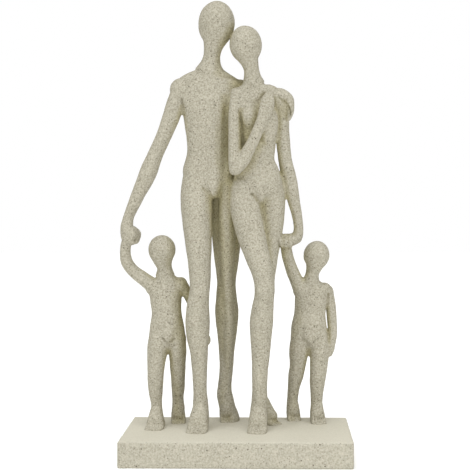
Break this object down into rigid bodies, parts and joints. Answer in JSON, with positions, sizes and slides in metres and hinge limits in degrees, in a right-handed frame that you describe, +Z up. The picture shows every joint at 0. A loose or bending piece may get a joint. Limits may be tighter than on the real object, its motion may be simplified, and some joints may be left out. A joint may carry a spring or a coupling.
{
  "type": "family group sculpture",
  "caption": "Slender faceless standing family, adults side by side holding the raised hands of small children, cast in stone-finish resin on a low rectangular plinth.",
  "frame": {"origin": "middle of the plinth's flat underside", "axes": "+Z up, +X to the viewer's right along the plinth's length, +Y away from the viewer, so that the figures face -Y"},
  "size_m": [0.1737, 0.085, 0.3389],
  "materials": {
    "cast_stone": "matt sandy stone finish, pale warm grey with fine dark specks"
  },
  "bodies": {
    "root": {"family_figures": "cast_stone", "plinth": "cast_stone"}
  },
  "joints": []
}
